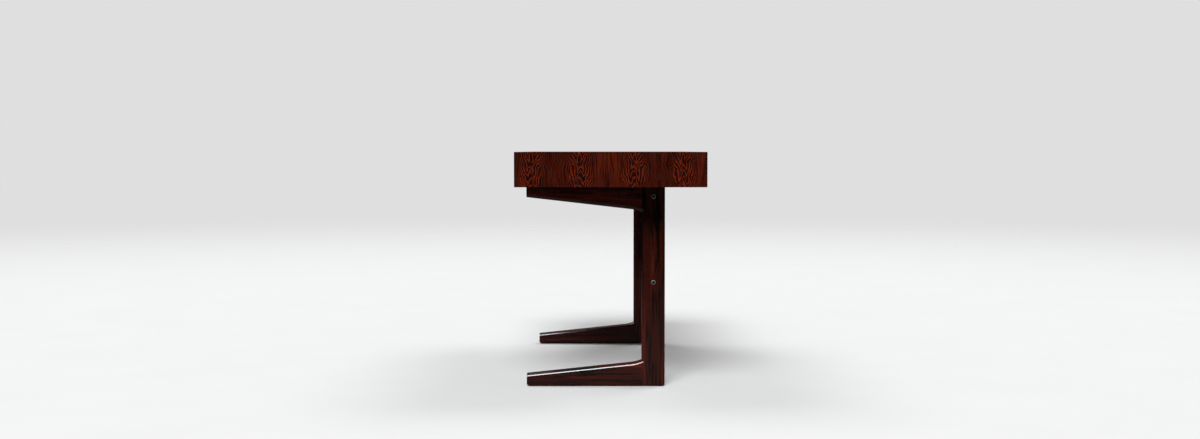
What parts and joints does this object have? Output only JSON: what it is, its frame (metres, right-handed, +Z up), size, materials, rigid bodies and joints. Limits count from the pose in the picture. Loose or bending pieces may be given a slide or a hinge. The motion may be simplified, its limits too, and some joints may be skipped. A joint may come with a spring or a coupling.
{
  "type": "cantilever desk",
  "caption": "Rosewood writing desk: a shallow mitred case with a row of drawers, cantilevered on C-shaped legs that a bolted modesty panel holds apart.",
  "frame": {"origin": "on the floor, below the middle of the desk top", "axes": "+X along the desk to the sitter's right, -Y towards the sitter, +Y towards the back, +Z up"},
  "size_m": [1.3, 0.58, 0.73],
  "materials": {
    "rosewood_veneer": "satin lacquer",
    "solid_rosewood": "satin lacquer",
    "pale_hardwood": "waxed",
    "drawer_plywood": "waxed",
    "steel": "turned",
    "glide_plastic": "moulded"
  },
  "bodies": {
    "desk": {"back_panel": "rosewood_veneer", "bottom_panel": "rosewood_veneer", "case_screws": "steel", "front_lipping": "solid_rosewood", "glides": "glide_plastic", "left_arm": "solid_rosewood", "left_drawer_left_runner": "pale_hardwood", "left_drawer_right_runner": "pale_hardwood", "left_foot": "solid_rosewood", "left_partition": "rosewood_veneer", "left_post": "solid_rosewood", "left_side_panel": "rosewood_veneer", "middle_drawer_left_runner": "pale_hardwood", "middle_drawer_right_runner": "pale_hardwood", "mitre_splines": "pale_hardwood", "modesty_panel": "rosewood_veneer", "panel_bolts": "steel", "rear_lipping": "solid_rosewood", "right_arm": "solid_rosewood", "right_drawer_left_runner": "pale_hardwood", "right_drawer_right_runner": "pale_hardwood", "right_foot": "solid_rosewood", "right_partition": "rosewood_veneer", "right_post": "solid_rosewood", "right_side_panel": "rosewood_veneer", "threaded_inserts": "steel", "top_panel": "rosewood_veneer"},
    "left_drawer": {"left_drawer_front": "rosewood_veneer", "left_drawer_left_side": "pale_hardwood", "left_drawer_right_side": "pale_hardwood", "left_drawer_back": "pale_hardwood", "left_drawer_bottom": "drawer_plywood"},
    "middle_drawer": {"middle_drawer_front": "rosewood_veneer", "middle_drawer_left_side": "pale_hardwood", "middle_drawer_right_side": "pale_hardwood", "middle_drawer_back": "pale_hardwood", "middle_drawer_bottom": "drawer_plywood"},
    "right_drawer": {"right_drawer_front": "rosewood_veneer", "right_drawer_left_side": "pale_hardwood", "right_drawer_right_side": "pale_hardwood", "right_drawer_back": "pale_hardwood", "right_drawer_bottom": "drawer_plywood"}
  },
  "joints": [
    {"name": "left_drawer_slide", "type": "slide", "parent": "desk", "child": "left_drawer", "axis": [0, -1, 0], "range_m": [0, 0.33]},
    {"name": "middle_drawer_slide", "type": "slide", "parent": "desk", "child": "middle_drawer", "axis": [0, -1, 0], "range_m": [0, 0.33]},
    {"name": "right_drawer_slide", "type": "slide", "parent": "desk", "child": "right_drawer", "axis": [0, -1, 0], "range_m": [0, 0.33]}
  ]
}
